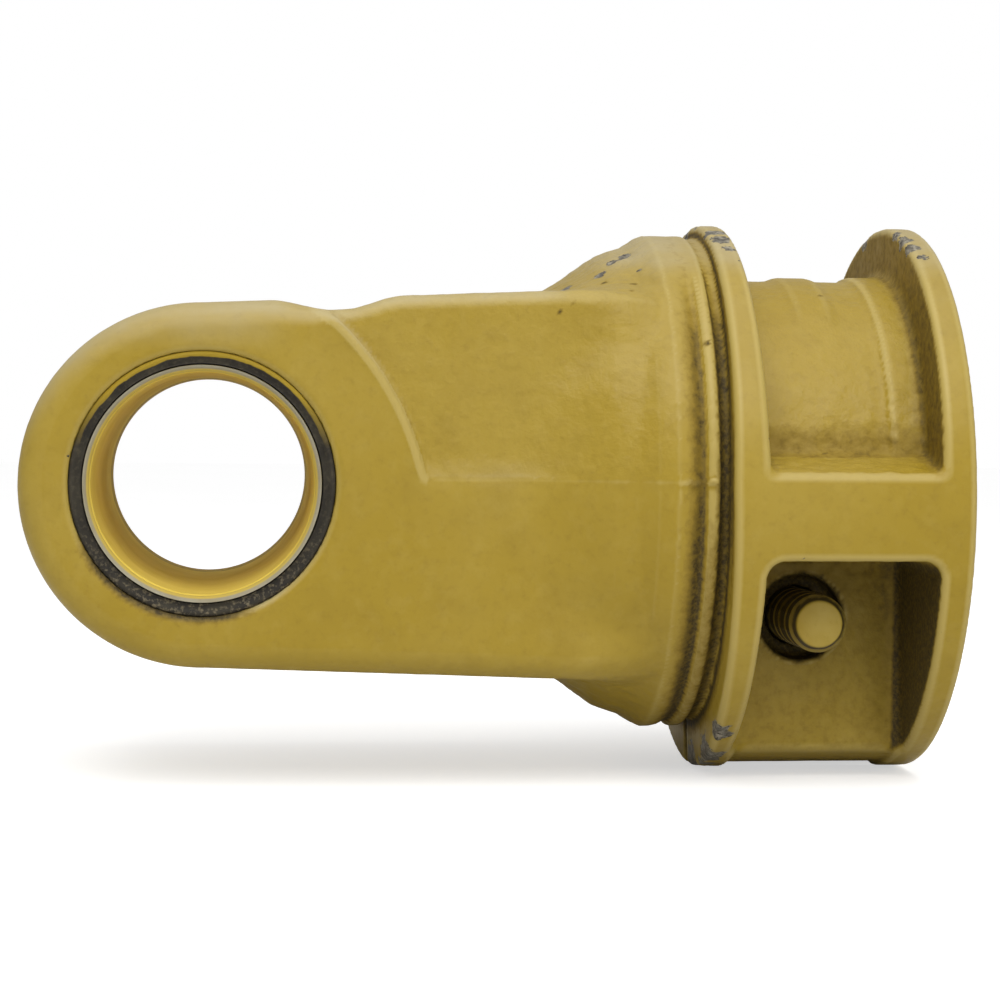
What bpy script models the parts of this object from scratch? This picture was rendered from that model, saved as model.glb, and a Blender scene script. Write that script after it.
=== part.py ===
"""Clamp-type rod eye of a large hydraulic cylinder, as separate bench-strippable pieces.

Frame: origin at the centre of the pin bore, +X along the rod axis towards the clamp
collar, +Y along the pin, +Z up. Lengths in the constants are millimetres and are
turned into metres where meshes are made.
"""
import math

import bmesh
import bpy
from mathutils import Matrix

MM = 0.001
GAP = 0.3  # clearance left between pieces that touch

# Pin joint
PIN_R = 37.5
EYE_R = 61.5
EYE_DROP = 0.7  # the cast eye sits this far below its machined bore
EYE_HALF_WIDTH = 70.0
BUSH_OUTER_R = 44.4
BUSH_HALF_LENGTH = 62.0
LIP_OUTER_R = 39.6
FACE_ROUNDING = 9.0

# Shank between the eye and the neck
SHANK_RISE = 0.045  # slope of the upper side
SHANK_FALL = 0.034  # slope of the lower side
SHANK_END_X = 150.0
VALLEY_START_X = 22.0
VALLEY_LOW_X = 43.0
VALLEY_END_X = 66.0
VALLEY_DEPTH = 4.0
BOSS_CENTRE = (-24.0, -19.0)
BOSS_R = 101.0
RECESS_DEPTH = 2.2
RECESS_END_X = 156.0
PARTING_Z = 1.4

# Neck and clamp collar
NECK_R = 89.3
NECK_SHOULDER_X = 159.0
FLANGE_R = 99.0
FLANGE_DROP = 5.4  # the flanges sit this far below the rod axis
FLANGE_1 = (174.4, 185.8)
FLANGE_2 = (244.2, 256.2)
DRAFT = 0.02  # slope of the sides of both pockets, for the mould
FLANGE_CHAMFER = 1.5
TUBE_R = 74.5
RIB_TOP_OUTER_Z = 4.8
RIB_TOP_INNER_Z = 14.5
RIB_TOP_INNER_Y = 60.0
RIB_BOTTOM_Z = -24.0
FLOOR_Y = 40.0
POCKET_CORNER_R = 6.0

# Rod socket and clamp bolt (M20 x 2.5)
SOCKET_R = 34.4
SOCKET_DEPTH_X = 166.0
SOCKET_CHAMFER = 3.0
SLIT_HALF_WIDTH = 2.5
SLIT_START_X = 176.0
BOLT_X = 210.0
BOLT_Z = -47.0
BOLT_R = 10.0
BOLT_END_Y = -69.0
BOLT_END_CHAMFER = 2.8
CLEARANCE_HOLE_R = 11.0
COUNTERBORE_R = 15.0
COUNTERBORE_END_Y = -30.0
WASHER_OUTER_R = 18.5
WASHER_THICKNESS = 4.0
HEAD_ACROSS_FLATS = 30.0
HEAD_HEIGHT = 12.5

FAR = 140.0  # past every outer surface of the casting


def clear_scene():
    for item in list(bpy.data.objects):
        bpy.data.objects.remove(item, do_unlink=True)


def make_material(name, colour, roughness, metallic):
    material = bpy.data.materials.new(name)
    material.use_nodes = True
    shader = material.node_tree.nodes["Principled BSDF"]
    shader.inputs["Base Color"].default_value = (*colour, 1.0)
    shader.inputs["Roughness"].default_value = roughness
    shader.inputs["Metallic"].default_value = metallic
    material.diffuse_color = (*colour, 1.0)
    return material


def make_object(name, mesh_data):
    bmesh.ops.recalc_face_normals(mesh_data, faces=mesh_data.faces)
    mesh = bpy.data.meshes.new(name)
    mesh_data.to_mesh(mesh)
    mesh_data.free()
    item = bpy.data.objects.new(name, mesh)
    bpy.context.scene.collection.objects.link(item)
    return item


def arc(centre, radius, start_deg, end_deg, steps):
    """Points on a circle from one angle to the other, both ends included."""
    points = []
    for i in range(steps + 1):
        angle = math.radians(start_deg + (end_deg - start_deg) * i / steps)
        points.append((centre[0] + radius * math.cos(angle), centre[1] + radius * math.sin(angle)))
    return points


def prism(name, outline, axis, low, high):
    """Closed prism of a 2-D outline, (x, z) along Y or (y, z) along X."""
    def place(a, b, along):
        return (along * MM, a * MM, b * MM) if axis == "X" else (a * MM, along * MM, b * MM)

    mesh_data = bmesh.new()
    rings = [[mesh_data.verts.new(place(a, b, along)) for a, b in outline] for along in (low, high)]
    for ring in rings:
        mesh_data.faces.new(ring)
    count = len(outline)
    for i in range(count):
        j = (i + 1) % count
        mesh_data.faces.new((rings[0][i], rings[0][j], rings[1][j], rings[1][i]))
    return make_object(name, mesh_data)


def turned(name, profile, axis, centre, segments, ring_shaped=False):
    """Solid turned from (along, radius) points; a ring joins its last point to its first."""
    mesh_data = bmesh.new()
    rings = []
    for along, radius in profile:
        ring = []
        for i in range(segments):
            angle = 2.0 * math.pi * i / segments
            a = centre[0] + radius * math.cos(angle)
            b = centre[1] + radius * math.sin(angle)
            point = (along, a, b) if axis == "X" else (a, along, b)
            ring.append(mesh_data.verts.new([value * MM for value in point]))
        rings.append(ring)
    spans = list(zip(rings, rings[1:]))
    if ring_shaped:
        spans.append((rings[-1], rings[0]))
    else:
        mesh_data.faces.new(rings[0])
        mesh_data.faces.new(rings[-1])
    for first, second in spans:
        for i in range(segments):
            j = (i + 1) % segments
            mesh_data.faces.new((first[i], first[j], second[j], second[i]))
    return make_object(name, mesh_data)


def combine(target, tool, operation):
    """Boolean of two objects, applied at once; the tool is removed."""
    modifier = target.modifiers.new("combine", "BOOLEAN")
    modifier.operation = operation
    modifier.solver = "EXACT"
    modifier.object = tool
    apply_modifiers(target)
    bpy.data.objects.remove(tool, do_unlink=True)


def apply_modifiers(item):
    graph = bpy.context.evaluated_depsgraph_get()
    mesh = bpy.data.meshes.new_from_object(item.evaluated_get(graph))
    item.modifiers.clear()
    item.data = mesh


def shade(item, material, smooth_deg=35.0):
    item.data.materials.clear()
    item.data.materials.append(material)
    item.data.shade_smooth()
    item.data.set_sharp_from_angle(angle=math.radians(smooth_deg))
    item.data.name = item.name


def set_origin(item, point_mm):
    """Moves the object's origin to a point without moving its surface."""
    offset = Matrix.Translation([-value * MM for value in point_mm])
    item.data.transform(offset)
    item.location = [value * MM for value in point_mm]


def shank_top(x):
    return EYE_R - EYE_DROP + SHANK_RISE * x


def shank_bottom(x):
    return -EYE_R - EYE_DROP - SHANK_FALL * x


def eye_and_shank():
    """Slab with a round eye; a shallow valley parts the eye boss from the shank on top."""
    low = shank_top(VALLEY_LOW_X) - VALLEY_DEPTH
    outline = arc((0.0, -EYE_DROP), EYE_R, 90.0, 270.0, 40)
    outline += [(SHANK_END_X, shank_bottom(SHANK_END_X)), (SHANK_END_X, shank_top(SHANK_END_X))]
    outline += [(VALLEY_END_X, shank_top(VALLEY_END_X))]
    outline += [(VALLEY_LOW_X + 9.0, low + 0.6), (VALLEY_LOW_X, low)]
    outline += [(VALLEY_START_X + 9.0, low + 0.8), (VALLEY_START_X, shank_top(0.0))]
    slab = prism("rod_eye", outline, "Y", -EYE_HALF_WIDTH, EYE_HALF_WIDTH)
    rounding = slab.modifiers.new("rounding", "BEVEL")
    rounding.width = FACE_ROUNDING * MM
    rounding.segments = 3
    rounding.limit_method = "ANGLE"
    rounding.angle_limit = math.radians(60.0)
    apply_modifiers(slab)
    return slab


def neck():
    """Turned neck: conical shoulder, short cylinder, and a thin ridge between two grooves."""
    groove_r = NECK_R - 2.4
    ridge_r = NECK_R - 0.6
    x = NECK_SHOULDER_X
    profile = [(112.0, 54.0), (128.0, 69.0), (146.0, 81.5), (x, NECK_R), (x + 3.0, NECK_R)]
    profile += [(x + 5.0, groove_r), (x + 7.5, groove_r), (x + 8.5, ridge_r), (x + 11.0, ridge_r)]
    profile += [(x + 12.0, groove_r), (FLANGE_1[0] + 1.0, groove_r)]
    return turned("neck", profile, "X", (0.0, 0.0), 72)


def collar_blank():
    chamfer = FLANGE_CHAMFER
    profile = [(FLANGE_1[0], FLANGE_R - chamfer), (FLANGE_1[0] + chamfer, FLANGE_R)]
    profile += [(FLANGE_2[1] - chamfer, FLANGE_R), (FLANGE_2[1], FLANGE_R - chamfer)]
    return turned("collar", profile, "X", (0.0, -FLANGE_DROP), 72)


def upper_pocket_cutter():
    """Space over the tube between the flanges, down to the sloped tops of both ribs."""
    slope = (RIB_TOP_INNER_Z - RIB_TOP_OUTER_Z) / (FLANGE_R - RIB_TOP_INNER_Y)
    edge_z = RIB_TOP_OUTER_Z - slope * (FAR - FLANGE_R)
    start_deg = math.degrees(math.asin(RIB_TOP_INNER_Z / TUBE_R)) - 2.0
    outline = [(FAR, edge_z), (FAR, FAR), (-FAR, FAR), (-FAR, edge_z)]
    outline += arc((0.0, 0.0), TUBE_R, 180.0 - start_deg, start_deg, 36)
    cutter = prism("upper_cutter", outline, "X", FLANGE_1[1], FLANGE_2[0])
    middle = 0.5 * (FLANGE_1[1] + FLANGE_2[0]) * MM
    for vertex in cutter.data.vertices:
        vertex.co.x += math.copysign(DRAFT * vertex.co.z, vertex.co.x - middle)
    return cutter


def lower_pocket_cutter(side):
    """Window under one rib, open downwards and outwards, with a flat floor."""
    r = POCKET_CORNER_R
    left = FLANGE_1[1]
    right = FLANGE_2[0]
    top = RIB_BOTTOM_Z
    spread = DRAFT * FAR
    outline = [(left - spread, -FAR), (right + spread, -FAR)]
    outline += arc((right - r, top - r), r, 0.0, 90.0, 5)
    outline += arc((left + r, top - r), r, 90.0, 180.0, 5)
    near, far = sorted((side * FLOOR_Y, side * FAR))
    return prism("lower_cutter", outline, "Y", near, far)


def shank_recess_cutter(side):
    """Shallow step that leaves the round boss proud of the shank's upper half."""
    start_deg = math.degrees(math.asin((PARTING_Z - BOSS_CENTRE[1]) / BOSS_R))
    outline = [(RECESS_END_X, PARTING_Z), (RECESS_END_X, FAR), (BOSS_CENTRE[0], FAR)]
    outline += arc(BOSS_CENTRE, BOSS_R, 90.0, start_deg, 28)
    inner = EYE_HALF_WIDTH - RECESS_DEPTH
    near, far = sorted((side * inner, side * FAR))
    return prism("recess_cutter", outline, "Y", near, far)


def socket_cutter():
    end = FLANGE_2[1]
    profile = [(SOCKET_DEPTH_X, SOCKET_R), (end - SOCKET_CHAMFER, SOCKET_R)]
    profile += [(end + 1.0, SOCKET_R + SOCKET_CHAMFER + 1.0)]
    return turned("socket_cutter", profile, "X", (0.0, 0.0), 56)


def slit_cutter():
    w = SLIT_HALF_WIDTH
    outline = [(-w, -FAR), (w, -FAR), (w, -SOCKET_R + 8.0), (-w, -SOCKET_R + 8.0)]
    return prism("slit_cutter", outline, "X", SLIT_START_X, FLANGE_2[1] + 5.0)


def bolt_hole_cutter():
    """Clearance hole in the far ear, tight hole in the near ear, cored relief outside it."""
    profile = [(-FLOOR_Y - 5.0, COUNTERBORE_R), (COUNTERBORE_END_Y, COUNTERBORE_R)]
    profile += [(COUNTERBORE_END_Y + 2.0, BOLT_R + GAP), (0.0, BOLT_R + GAP)]
    profile += [(1.0, CLEARANCE_HOLE_R), (FLOOR_Y + 5.0, CLEARANCE_HOLE_R)]
    return turned("bolt_hole_cutter", profile, "Y", (BOLT_X, BOLT_Z), 32)


def pin_bore_cutter():
    reach = EYE_HALF_WIDTH + 5.0
    profile = [(-reach, BUSH_OUTER_R), (reach, BUSH_OUTER_R)]
    return turned("bore_cutter", profile, "Y", (0.0, 0.0), 64)


def rod_eye(paint):
    """The one-piece casting: eye, shank, neck and slit clamp collar."""
    casting = eye_and_shank()
    combine(casting, shank_recess_cutter(-1), "DIFFERENCE")
    combine(casting, shank_recess_cutter(1), "DIFFERENCE")
    collar = collar_blank()
    combine(collar, upper_pocket_cutter(), "DIFFERENCE")
    combine(collar, lower_pocket_cutter(-1), "DIFFERENCE")
    combine(collar, lower_pocket_cutter(1), "DIFFERENCE")
    combine(casting, neck(), "UNION")
    combine(casting, collar, "UNION")
    cutters = (socket_cutter(), slit_cutter(), bolt_hole_cutter(), pin_bore_cutter())
    for cutter in cutters:
        combine(casting, cutter, "DIFFERENCE")
    shade(casting, paint)
    return casting


def pin_bushing(bronze):
    """Pressed-in bush that the machine's pin turns in, chamfered at both mouths."""
    outer = BUSH_OUTER_R - GAP
    end = BUSH_HALF_LENGTH
    lead = 1.2
    profile = [(-end + lead, PIN_R), (-end, PIN_R + lead), (-end, outer - lead), (-end + lead, outer)]
    profile += [(end - lead, outer), (end, outer - lead), (end, PIN_R + lead), (end - lead, PIN_R)]
    bush = turned("pin_bushing", profile, "Y", (0.0, 0.0), 64, ring_shaped=True)
    shade(bush, bronze)


def seal_ring(side, name, rubber):
    """Dark carrier ring of a dust seal, pushed into the casting's mouth."""
    inner = LIP_OUTER_R + GAP
    outer = BUSH_OUTER_R - GAP
    low = BUSH_HALF_LENGTH + GAP
    high = EYE_HALF_WIDTH - 0.8
    profile = [(low, inner), (high, inner), (high, outer - 0.6), (high - 0.6, outer), (low, outer)]
    profile = [(side * along, radius) for along, radius in profile]
    ring = turned(name, profile, "Y", (0.0, 0.0), 64, ring_shaped=True)
    shade(ring, rubber)


def seal_lip(side, name, polymer):
    """Pale wiper lip inside the carrier ring; its bore touches the pin."""
    low = BUSH_HALF_LENGTH + GAP
    high = EYE_HALF_WIDTH - 0.4
    profile = [(low, PIN_R + 0.5), (high - 2.2, PIN_R), (high - 0.6, PIN_R + 1.2)]
    profile += [(high, PIN_R + 1.9), (high, LIP_OUTER_R), (low, LIP_OUTER_R)]
    profile = [(side * along, radius) for along, radius in profile]
    lip = turned(name, profile, "Y", (0.0, 0.0), 64, ring_shaped=True)
    shade(lip, polymer)


def clamp_washer(steel):
    """Hardened washer under the bolt head; it travels with the bolt along Y."""
    low = FLOOR_Y + GAP
    high = low + WASHER_THICKNESS
    inner = BOLT_R + 0.5
    edge = 0.5
    profile = [(low, inner), (low, WASHER_OUTER_R - edge), (low + edge, WASHER_OUTER_R)]
    profile += [(high - edge, WASHER_OUTER_R), (high, WASHER_OUTER_R - edge), (high, inner)]
    washer = turned("clamp_washer", profile, "Y", (BOLT_X, BOLT_Z), 40, ring_shaped=True)
    set_origin(washer, (BOLT_X, FLOOR_Y, BOLT_Z))
    shade(washer, steel)


def clamp_bolt(paint):
    """Hex bolt across both ears; its threaded end stands out into the near pocket."""
    seat = FLOOR_Y + WASHER_THICKNESS + 2.0 * GAP
    chamfer = BOLT_END_CHAMFER
    profile = [(BOLT_END_Y, BOLT_R - chamfer), (BOLT_END_Y + chamfer, BOLT_R), (seat + 2.0, BOLT_R)]
    bolt = turned("clamp_bolt", profile, "Y", (BOLT_X, BOLT_Z), 32)
    corner_r = HEAD_ACROSS_FLATS / math.sqrt(3.0)
    hexagon = arc((BOLT_X, BOLT_Z), corner_r, 0.0, 300.0, 5)
    head = prism("head", hexagon, "Y", seat, seat + HEAD_HEIGHT)
    cone = [(seat - 1.0, corner_r + 1.0), (seat + HEAD_HEIGHT - 1.6, corner_r + 0.2)]
    cone += [(seat + HEAD_HEIGHT, HEAD_ACROSS_FLATS / 2.0 - 0.6)]
    combine(head, turned("cone", cone, "Y", (BOLT_X, BOLT_Z), 40), "INTERSECT")
    combine(bolt, head, "UNION")
    set_origin(bolt, (BOLT_X, FLOOR_Y, BOLT_Z))
    shade(bolt, paint)


def main():
    clear_scene()
    paint = make_material("yellow_paint", (0.40, 0.28, 0.055), 0.45, 0.0)
    bolt_paint = make_material("bolt_paint", (0.37, 0.26, 0.06), 0.5, 0.0)
    bronze = make_material("bushing_bronze", (0.42, 0.30, 0.11), 0.35, 0.8)
    rubber = make_material("seal_rubber", (0.035, 0.036, 0.04), 0.6, 0.0)
    polymer = make_material("seal_polyurethane", (0.55, 0.52, 0.38), 0.45, 0.0)
    steel = make_material("washer_steel", (0.32, 0.31, 0.29), 0.4, 0.9)
    rod_eye(paint)
    pin_bushing(bronze)
    for side, place in ((-1, "near"), (1, "far")):
        seal_ring(side, "seal_ring_" + place, rubber)
        seal_lip(side, "seal_lip_" + place, polymer)
    clamp_washer(steel)
    clamp_bolt(bolt_paint)


main()
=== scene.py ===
"""Looks of the clamp-type rod eye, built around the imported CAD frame.

The casting is rebuilt as the zero surface of a distance field, which gives it the soft
fillets, rolled edges and pitted skin of a painted steel casting. The field is written in
millimetres in the frame's own axes: origin at the pin bore's centre, +X along the rod,
+Y along the pin and away from the camera, +Z up.
"""
import math

import bmesh
import bpy
import numpy as np
from mathutils import Matrix, Vector


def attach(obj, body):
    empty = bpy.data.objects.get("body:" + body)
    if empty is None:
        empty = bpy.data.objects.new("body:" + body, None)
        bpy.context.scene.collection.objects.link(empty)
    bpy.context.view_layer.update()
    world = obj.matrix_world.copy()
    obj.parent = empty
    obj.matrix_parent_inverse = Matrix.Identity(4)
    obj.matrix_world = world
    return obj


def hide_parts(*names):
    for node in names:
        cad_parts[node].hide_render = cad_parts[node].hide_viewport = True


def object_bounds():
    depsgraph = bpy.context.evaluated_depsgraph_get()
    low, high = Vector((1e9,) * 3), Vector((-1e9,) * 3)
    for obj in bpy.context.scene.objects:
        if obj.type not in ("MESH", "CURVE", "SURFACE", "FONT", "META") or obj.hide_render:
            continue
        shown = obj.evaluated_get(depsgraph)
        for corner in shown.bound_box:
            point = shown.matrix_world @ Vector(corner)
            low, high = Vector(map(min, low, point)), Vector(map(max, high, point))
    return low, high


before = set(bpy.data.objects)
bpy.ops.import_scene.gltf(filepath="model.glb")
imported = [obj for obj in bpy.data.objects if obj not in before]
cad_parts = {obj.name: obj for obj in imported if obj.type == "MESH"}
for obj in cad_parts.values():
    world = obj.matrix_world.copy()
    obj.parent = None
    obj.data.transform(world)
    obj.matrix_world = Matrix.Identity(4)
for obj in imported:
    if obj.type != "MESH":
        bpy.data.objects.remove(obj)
cad_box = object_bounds()

MM = 0.001
SEED = 7

# Sizes of the casting and its fittings, in millimetres
PIN_R = 37.5
EYE_R = 61.5
EYE_DROP = 0.7
EYE_HALF_WIDTH = 70.0
BUSH_OUTER_R = 44.4
BUSH_HALF_LENGTH = 62.0
LIP_OUTER_R = 39.6
FACE_ROUNDING = 9.0
SHANK_RISE = 0.045
SHANK_FALL = 0.034
VALLEY_DEPTH = 4.0
BOSS_CENTRE = (-24.0, -19.0)
BOSS_R = 101.0
RECESS_DEPTH = 2.2
SHANK_END_X = 158.0
PARTING_Z = 1.4
FLANGE_R = 99.0
FLANGE_DROP = 5.4
FLANGE_1 = (174.4, 186.7)
FLANGE_2 = (244.6, 256.2)
DRAFT = 0.02
TUBE_R = 74.5
RIB_TOP_OUTER_Z = 4.8
RIB_TOP_SLOPE = 0.249
RIB_BOTTOM_Z = -24.0
FLOOR_Y = 40.0
SOCKET_R = 34.4
SOCKET_DEPTH_X = 166.0
SOCKET_PITCH = 3.0
SOCKET_THREAD_DEPTH = 1.7
SLEEVE_WALL = 2.2  # room in the casting for the sleeve that carries the socket's thread
SLIT_HALF_WIDTH = 2.5
SLIT_START_X = 176.0
BOLT_X = 210.0
BOLT_Z = -47.0
BOLT_R = 10.0
BOLT_PITCH = 2.5
BOLT_END_Y = -69.0
BOLT_CHAMFER = 2.8
BOLT_THREAD_DEPTH = 1.45
BOLT_THREAD_END_Y = 4.0
HEAD_FLATS = 30.0
HEAD_HEIGHT = 12.5
WASHER_R = 18.5
WASHER_THICKNESS = 4.0
COUNTERBORE_R = 15.0
COUNTERBORE_END_Y = -30.0
GAP = 0.3  # clearance between pieces that are pressed together or stacked
RING_GAP = 0.05
FAR_LIP_REACH = 0.6  # the far lip bulges this far into the bore

# Finer shapes of the casting that the CAD model leaves out
BAND_START_X = 233.0  # raised band on the tube, against the second flange
BAND_HEIGHT = 1.8
BOSS_RIM = 0.35
NECK_TOP_R = 89.7  # the two grooves are nearly filled at the top of the neck
LATE_RISE = 1.4  # fills the dip before the neck's last rise on its two sides
PAD_HEIGHT = 1.4  # low pad on top of the tube
TUBE_DROP = 0.8  # the tube beside its band and pad lies this far below its full radius
BLOCK_STEP = 1.6  # the ears stop this far short of the flange rims
NECK_LINE = (
    (100.0, 43.0), (114.0, 58.0), (122.0, 66.5), (126.2, 70.7), (129.1, 73.3), (131.9, 75.9),
    (134.8, 78.1), (137.7, 80.2), (140.5, 81.9), (143.4, 83.2), (146.3, 84.1), (149.3, 85.0),
    (152.2, 86.7), (155.1, 88.5), (157.6, 89.7), (160.5, 89.6), (162.5, 89.1), (164.2, 88.2),
    (165.4, 87.5), (166.4, 87.4), (167.2, 88.4), (168.0, 89.5), (170.6, 89.5), (171.4, 88.6),
    (172.0, 87.3), (173.0, 86.9), (190.0, 86.9),
)

# The shank's corners sink into the neck: x, and the radius about the rod axis that they keep to
SHANK_LIMIT = ((108.0, 124.0, 140.0, 150.0, 158.0), (106.0, 99.0, 93.0, 90.4, 89.2))

# Fillet and edge radii of the casting, in millimetres
SHANK_END_FILLET = 8.0
SHANK_CORNER_FILLET = 6.0
RIM_ROUNDING = 2.2
POCKET_EDGE = 2.4
POCKET_CORNER = 6.0
RIB_FILLET = 3.0
TUBE_FILLET = 4.0
JOIN_FILLET = 1.2

# Plateaus along x: where each feature starts, is full, begins to fade and has faded
VALLEY_X = (22.0, 43.0, 47.0, 67.0)
RECESS_X = (10.0, 30.0, 118.0, 152.0)
PAD_X = (203.0, 208.0, 217.0, 222.0)
NECK_SEAM_X = (156.0, 162.0, 172.5, 173.5)
SHANK_SKIN_X = (20.0, 40.0, 158.0, 162.0)
SHANK_GRAIN_X = (20.0, 40.0, 150.0, 160.0)
SHOULDER_SKIN_X = (118.0, 132.0, 154.0, 158.0)
SEAM_SKIN_X = (72.0, 84.0, 135.0, 150.0)
FIRST_GROOVE_X = (157.5, 165.0, 166.4, 167.4)
RIDGE_X = (166.0, 168.0, 170.6, 171.2)
SECOND_GROOVE_X = (171.0, 171.8, 174.4, 175.6)
FLANGE_WALL_X = (241.6, 244.1, 247.2, 249.0)
NECK_DUST_AND_HIGHLIGHT_X = (140.0, 150.0, 166.0, 168.0)

FIELD_STEP = 1.5  # millimetres between samples of the field
FIELD_MARGIN = 6.0
FIELD_SHIFT = 0.37  # keeps the samples off the casting's flat faces
ROUND_SEGMENTS = 160
CHIP_DEPTH = 0.25

# Photograph's camera and the studio, in millimetres and degrees for the camera, metres for the lights
CAMERA_LENS = 87.38
CAMERA_PLACE = (15.8, -882.9, 21.8)
CAMERA_YAW = -5.88
CAMERA_PITCH = -1.87
CAMERA_ROLL = 0.45
LIGHT_AIM = (0.1, 0.0, 0.0)
LIGHTS = (  # name, place, size, power in watts
    ("top_light", (0.08, -0.15, 1.10), (1.2, 0.7), 4.0),
    ("front_light", (0.05, -0.95, 0.95), (1.3, 0.8), 11.5),
    ("fill_light", (0.65, -1.3, 0.05), (1.6, 1.0), 3.2),
)
AMBIENT_LOW = 0.40
AMBIENT_HIGH = 0.62
FLOOR_HALF_SIZE = 6.0
FLOOR_GLOW = 0.55


# ---------------------------------------------------------------- field helpers

def smooth_min(a, b, k):
    h = np.maximum(k - np.abs(a - b), 0.0) / k
    return np.minimum(a, b) - h * h * k * 0.25


def smooth_max(a, b, k):
    return -smooth_min(-a, -b, k)


def ramp(value, low, high):
    """Smooth step from 0 at low to 1 at high."""
    t = np.clip((value - low) / (high - low), 0.0, 1.0)
    return t * t * (3.0 - 2.0 * t)


def plateau(value, start, full, fading, end):
    """Smooth rise from 0 at start to 1 at full, and fall back to 0 from fading to end."""
    return ramp(value, start, full) * (1.0 - ramp(value, fading, end))


def bell(value, centre, width):
    return np.exp(-(((value - centre) / width) ** 2))


def rounded_pair(a, b, radius):
    """Intersection of two distances with their shared edge rolled to a radius."""
    a = a + radius
    b = b + radius
    outside = np.hypot(np.maximum(a, 0.0), np.maximum(b, 0.0))
    return np.minimum(np.maximum(a, b), 0.0) + outside - radius


def waves(x, y, z, length, seed, count=18):
    """Band-limited noise from -1 to 1: plane waves of about one length in random directions."""
    rng = np.random.default_rng(SEED * 1000 + seed)
    total = 0.0
    for _ in range(count):
        direction = rng.normal(size=3)
        direction *= 2.0 * math.pi / (length * rng.uniform(0.7, 1.5) * np.linalg.norm(direction))
        phase = rng.uniform(0.0, 2.0 * math.pi)
        total = total + np.sin(x * direction[0] + y * direction[1] + z * direction[2] + phase)
    return total / math.sqrt(count * 2.0)


# ---------------------------------------------------------------- the casting's field

def shank_top(x):
    dip = VALLEY_DEPTH * plateau(x, *VALLEY_X)
    return EYE_R - EYE_DROP + SHANK_RISE * np.maximum(x, 0.0) - dip


def shank_bottom(x):
    return -EYE_R - EYE_DROP - SHANK_FALL * np.maximum(x, 0.0)


def past_boss(x, z):
    """Distance outside the rim of the boss that stands proud of the shank's upper half."""
    return np.hypot(x - BOSS_CENTRE[0], z - BOSS_CENTRE[1]) - BOSS_R


def boss_rim(x, z):
    """Low rolled bead along the boss's edge, in the shank's upper half."""
    bead = bell(past_boss(x, z), -1.6, 1.5)
    return bead * ramp(z, PARTING_Z - 4.0, PARTING_Z + 6.0) * ramp(x, 20.0, 34.0)


def eye_and_shank(x, y, z):
    straight = np.maximum(z - shank_top(x), shank_bottom(x) - z)
    outline = np.where(x < 0.0, np.hypot(x, z + EYE_DROP) - EYE_R, straight)
    recess = ramp(past_boss(x, z), -0.6, 0.9) * ramp(z, PARTING_Z - 4.0, PARTING_Z + 9.0)
    recess = recess * plateau(x, *RECESS_X)
    side = np.abs(y) - (EYE_HALF_WIDTH - RECESS_DEPTH * recess + BOSS_RIM * boss_rim(x, z))
    rounding = FACE_ROUNDING + 0.5 - 4.5 * ramp(x, 25.0, 45.0) * (z > 0.0)
    slab = rounded_pair(outline, side, rounding)
    return smooth_max(slab, x - SHANK_END_X, SHANK_END_FILLET)


def neck(x, z, radius):
    """Conical shoulder, cylinder, groove, thin ridge and groove, as a radius that varies with x."""
    late = LATE_RISE * bell(x, 150.5, 4.5) * (1.0 - ramp(np.abs(z), 50.0, 72.0))
    line = np.interp(x, *zip(*NECK_LINE)) + late
    filled = ramp(x, 158.0, 160.0) * ramp(z, 60.0, 80.0) * (0.95 - 0.35 * ramp(x, 170.0, 171.0))
    line = line + filled * np.maximum(NECK_TOP_R - line, 0.0)
    wall = (radius - line) * 0.9
    return np.maximum(np.maximum(wall, 112.0 - x), x - (FLANGE_1[0] + 4.0))


def shoulder_blend(x, z):
    """Fillet size between shank and neck: wide on the two sides, tight above and below."""
    size = 20.0 - 9.0 * ramp(np.abs(z), 28.0, 52.0)
    return 0.8 + size * (1.0 - ramp(x, 136.0, 158.0))


def upper_pocket(x, y, z, radius):
    """Space between the flanges over the tube; its corners are the casting's fillets."""
    sides = np.maximum(FLANGE_1[1] - DRAFT * z - x, x - FLANGE_2[0] - DRAFT * z)
    band = BAND_HEIGHT * ramp(x, BAND_START_X - 1.5, BAND_START_X + 1.5)
    pad = PAD_HEIGHT * plateau(x, *PAD_X) * ramp(z, 45.0, 68.0)
    tube = TUBE_R - TUBE_DROP + band + pad - radius
    rib_top = RIB_TOP_OUTER_Z + RIB_TOP_SLOPE * (FLANGE_R - np.abs(y)) - z
    return smooth_max(smooth_max(sides, rib_top, RIB_FILLET), tube, TUBE_FILLET)


def lower_pocket(x, y, z):
    sides = np.maximum(FLANGE_1[1] + DRAFT * z - x, x - FLANGE_2[0] + DRAFT * z)
    walls = rounded_pair(sides, z - RIB_BOTTOM_Z, POCKET_CORNER)
    return smooth_max(walls, FLOOR_Y - np.abs(y), POCKET_CORNER)


def between_flanges(x):
    left, right = FLANGE_1[1], FLANGE_2[0]
    return plateau(x, left - 1.0, left + 1.0, right - 1.0, right + 1.0)


def inside_collar(x, y, z):
    """1 between the flanges, fading out towards their rims."""
    rim = np.hypot(y, z + FLANGE_DROP)
    return between_flanges(x) * (1.0 - ramp(rim, FLANGE_R - 3.0, FLANGE_R - 1.0))


def collar(x, y, z, radius):
    step = BLOCK_STEP * between_flanges(x) * ramp(-z, 45.0, 80.0)
    rim = np.hypot(y, z + FLANGE_DROP) - FLANGE_R + step
    ends = np.maximum(FLANGE_1[0] + DRAFT * np.abs(z) - x, x - FLANGE_2[1])
    blank = rounded_pair(rim, ends, RIM_ROUNDING)
    blank = smooth_max(blank, -upper_pocket(x, y, z, radius), POCKET_EDGE)
    return smooth_max(blank, -lower_pocket(x, y, z), POCKET_EDGE)


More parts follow.
